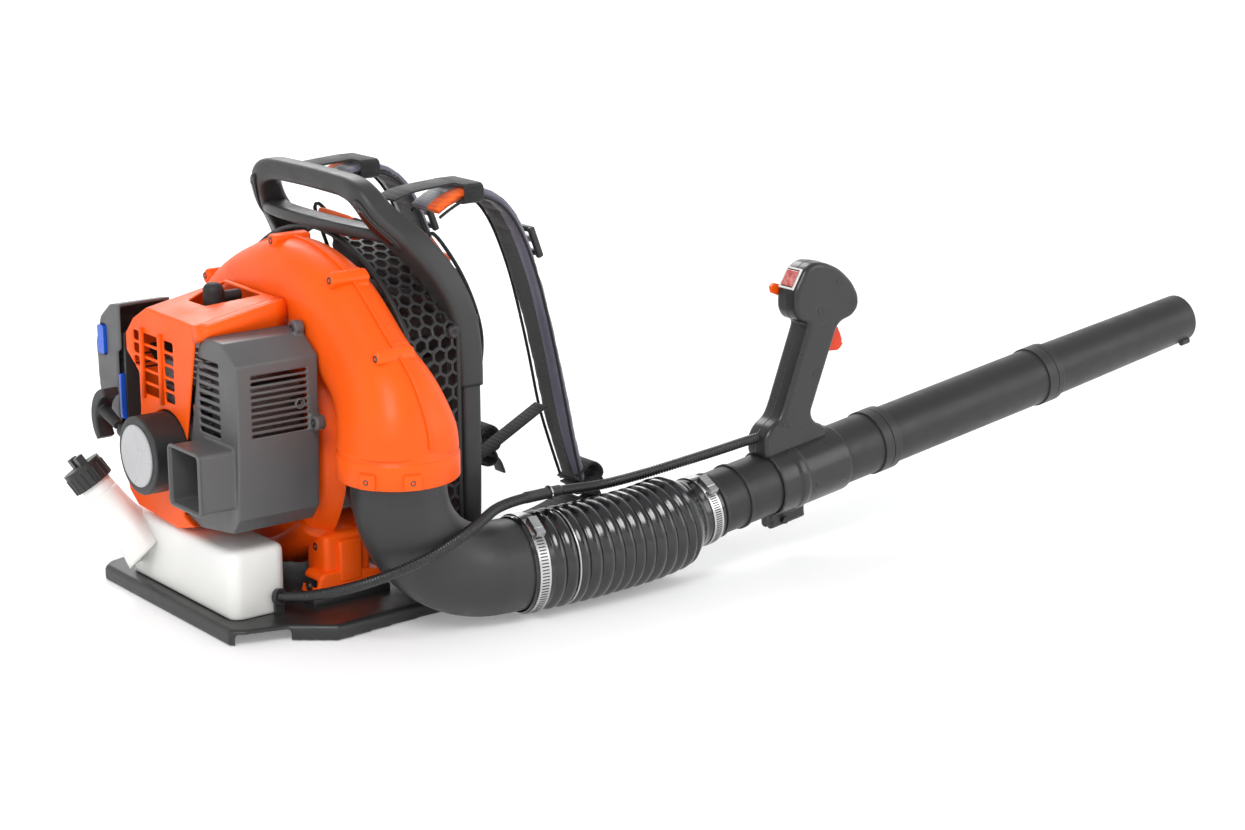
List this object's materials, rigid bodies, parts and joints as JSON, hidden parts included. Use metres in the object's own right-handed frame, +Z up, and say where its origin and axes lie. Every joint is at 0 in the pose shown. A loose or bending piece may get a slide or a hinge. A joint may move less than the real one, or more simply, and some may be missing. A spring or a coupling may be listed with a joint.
{
  "type": "backpack leaf blower",
  "caption": "Petrol backpack leaf blower: scroll fan and engine on a base with back frame and harness, elbow, flexible bellows and a blower tube with control handle.",
  "frame": {"origin": "on the base's underside, below the middle of the fan, on the floor plane", "axes": "+Y the wearer's forward direction, along which the blower tube points; +X the wearer's right, with the elbow and tube; +Z up"},
  "size_m": [0.5312, 1.5172, 0.499],
  "materials": {
    "orange_shell": "glossy moulded",
    "dark_plastic": "fine grained",
    "gray_plastic": "fine grained",
    "black_gloss": "glossy",
    "white_tank": "translucent white",
    "blue_plastic": "glossy",
    "red_plastic": "glossy",
    "orange_rubbery": "soft translucent",
    "rubber": "matte",
    "steel": "brushed",
    "dark_steel": "satin",
    "cast_aluminium": "sand cast",
    "pad_fabric": "mesh fabric",
    "web_fabric": "woven webbing",
    "filter_foam": "foam"
  },
  "bodies": {
    "unit": {"air_filter_base": "dark_plastic", "air_filter_element": "filter_foam", "back_frame": "gray_plastic", "back_pad": "pad_fabric", "base_plate": "dark_plastic", "buckles": "dark_plastic", "carburetor": "cast_aluminium", "clamp_rear": "steel", "conduit_gland": "dark_plastic", "conduit_rear": "rubber", "connecting_rod": "steel", "crankcase": "cast_aluminium", "cylinder": "cast_aluminium", "elbow": "gray_plastic", "engine_shroud": "orange_shell", "fan_housing_front": "orange_shell", "fan_housing_rear": "orange_shell", "foot_bracket": "orange_shell", "fuel_tank": "white_tank", "housing_screws": "steel", "ignition_coil": "dark_plastic", "intake_screens": "dark_plastic", "muffler": "dark_steel", "muffler_cover": "gray_plastic", "piston": "cast_aluminium", "plug_boot": "rubber", "shoulder_straps": "pad_fabric", "spark_plug": "steel", "starter_disc": "steel", "starter_housing": "dark_plastic", "vibration_mounts": "rubber", "webbing": "web_fabric"},
    "rotor": {"crankshaft": "steel", "flywheel": "cast_aluminium", "fan_impeller": "cast_aluminium"},
    "starter_grip": {"starter_grip": "dark_plastic", "starter_rope": "web_fabric"},
    "starter_pulley": {"starter_pulley": "dark_plastic"},
    "fuel_cap": {"fuel_cap": "dark_plastic"},
    "bellows": {"bellows_rear": "black_gloss", "conduit_clip": "steel"},
    "tube": {"bellows_front": "black_gloss", "clamp_front": "steel", "lower_tube": "dark_plastic", "conduit_front": "rubber"},
    "handle": {"handle_sleeve": "dark_plastic", "handle_shell_left": "dark_plastic", "handle_shell_right": "dark_plastic", "handle_screws": "steel", "trigger_pin": "steel", "rocker_bezel": "white_tank"},
    "mid_tube": {"mid_tube": "dark_plastic"},
    "nozzle": {"nozzle": "dark_plastic"},
    "trigger": {"trigger": "red_plastic"},
    "throttle_lock": {"throttle_lock_lever": "orange_shell"},
    "stop_rocker": {"stop_rocker": "red_plastic"},
    "choke": {"choke_lever": "blue_plastic"},
    "primer": {"primer_bulb": "orange_rubbery"},
    "filter_cover": {"air_filter_cover": "dark_plastic"},
    "filter_latch": {"filter_latch": "blue_plastic"}
  },
  "joints": [
    {"name": "rotor_spin", "type": "hinge", "parent": "unit", "child": "rotor", "pos_m": [0, 0, 0.191], "axis": [0, 1, 0], "continuous": true},
    {"name": "starter_pull", "type": "slide", "parent": "unit", "child": "starter_grip", "axis": [-0.9511, 0, 0.309], "range_m": [0, 0.6], "stiffness_N_per_m": 20, "springref_m": -0.3, "deforming": ["starter_rope"]},
    {"name": "pulley_turn", "type": "hinge", "parent": "unit", "child": "starter_pulley", "pos_m": [0, -0.142, 0.191], "axis": [0, 1, 0], "range_deg": [-1400, 0]},
    {"name": "cap_turn", "type": "hinge", "parent": "unit", "child": "fuel_cap", "pos_m": [-0.126, -0.158, 0.142], "axis": [-0.3601, -0.4501, 0.8172], "range_deg": [0, 360]},
    {"name": "bellows_yaw", "type": "hinge", "parent": "unit", "child": "bellows", "pos_m": [0.259, 0.245, 0.059], "axis": [0, 0, 1], "range_deg": [-20, 20], "deforming": ["bellows_rear", "conduit_rear"]},
    {"name": "bellows_pitch", "type": "hinge", "parent": "bellows", "child": "tube", "pos_m": [0.261, 0.37, 0.063], "axis": [1, 0, 0], "range_deg": [-8, 30], "deforming": ["bellows_front", "conduit_front"]},
    {"name": "handle_slide", "type": "slide", "parent": "tube", "child": "handle", "axis": [0, 0.991, 0.1338], "range_m": [0, 0.03]},
    {"name": "mid_tube_twist", "type": "hinge", "parent": "tube", "child": "mid_tube", "pos_m": [0.258, 0.745, 0.11339], "axis": [0, 0.991, 0.1338], "range_deg": [0, 35]},
    {"name": "nozzle_twist", "type": "hinge", "parent": "mid_tube", "child": "nozzle", "pos_m": [0.258, 1.046, 0.15403], "axis": [0, 0.991, 0.1338], "range_deg": [0, 35]},
    {"name": "trigger_pull", "type": "hinge", "parent": "handle", "child": "trigger", "pos_m": [0.258, 0.652, 0.292], "axis": [-1, 0, 0], "range_deg": [0, 12], "stiffness_Nm_per_rad": 0.5, "springref_deg": -17.19},
    {"name": "throttle_lock", "type": "hinge", "parent": "handle", "child": "throttle_lock", "pos_m": [0.2367, 0.614, 0.318], "axis": [1, 0, 0], "range_deg": [0, 40]},
    {"name": "stop_rocker_tip", "type": "hinge", "parent": "handle", "child": "stop_rocker", "pos_m": [0.258, 0.602, 0.341], "axis": [1, 0, 0], "range_deg": [0, 8]},
    {"name": "choke_turn", "type": "hinge", "parent": "unit", "child": "choke", "pos_m": [-0.1075, -0.113, 0.21], "axis": [1, 0, 0], "range_deg": [0, 20]},
    {"name": "primer_press", "type": "slide", "parent": "unit", "child": "primer", "axis": [1, 0, 0], "range_m": [0, 0.004], "stiffness_N_per_m": 800},
    {"name": "filter_cover_off", "type": "slide", "parent": "unit", "child": "filter_cover", "axis": [-1, 0, 0], "range_m": [0, 0.08]},
    {"name": "filter_latch_turn", "type": "hinge", "parent": "filter_cover", "child": "filter_latch", "pos_m": [-0.147, -0.118, 0.279], "axis": [1, 0, 0], "range_deg": [0, 50]}
  ],
  "couplings": [
    {"joint": "pulley_turn", "follows": "starter_pull", "rad_per_m": -38.6}
  ]
}
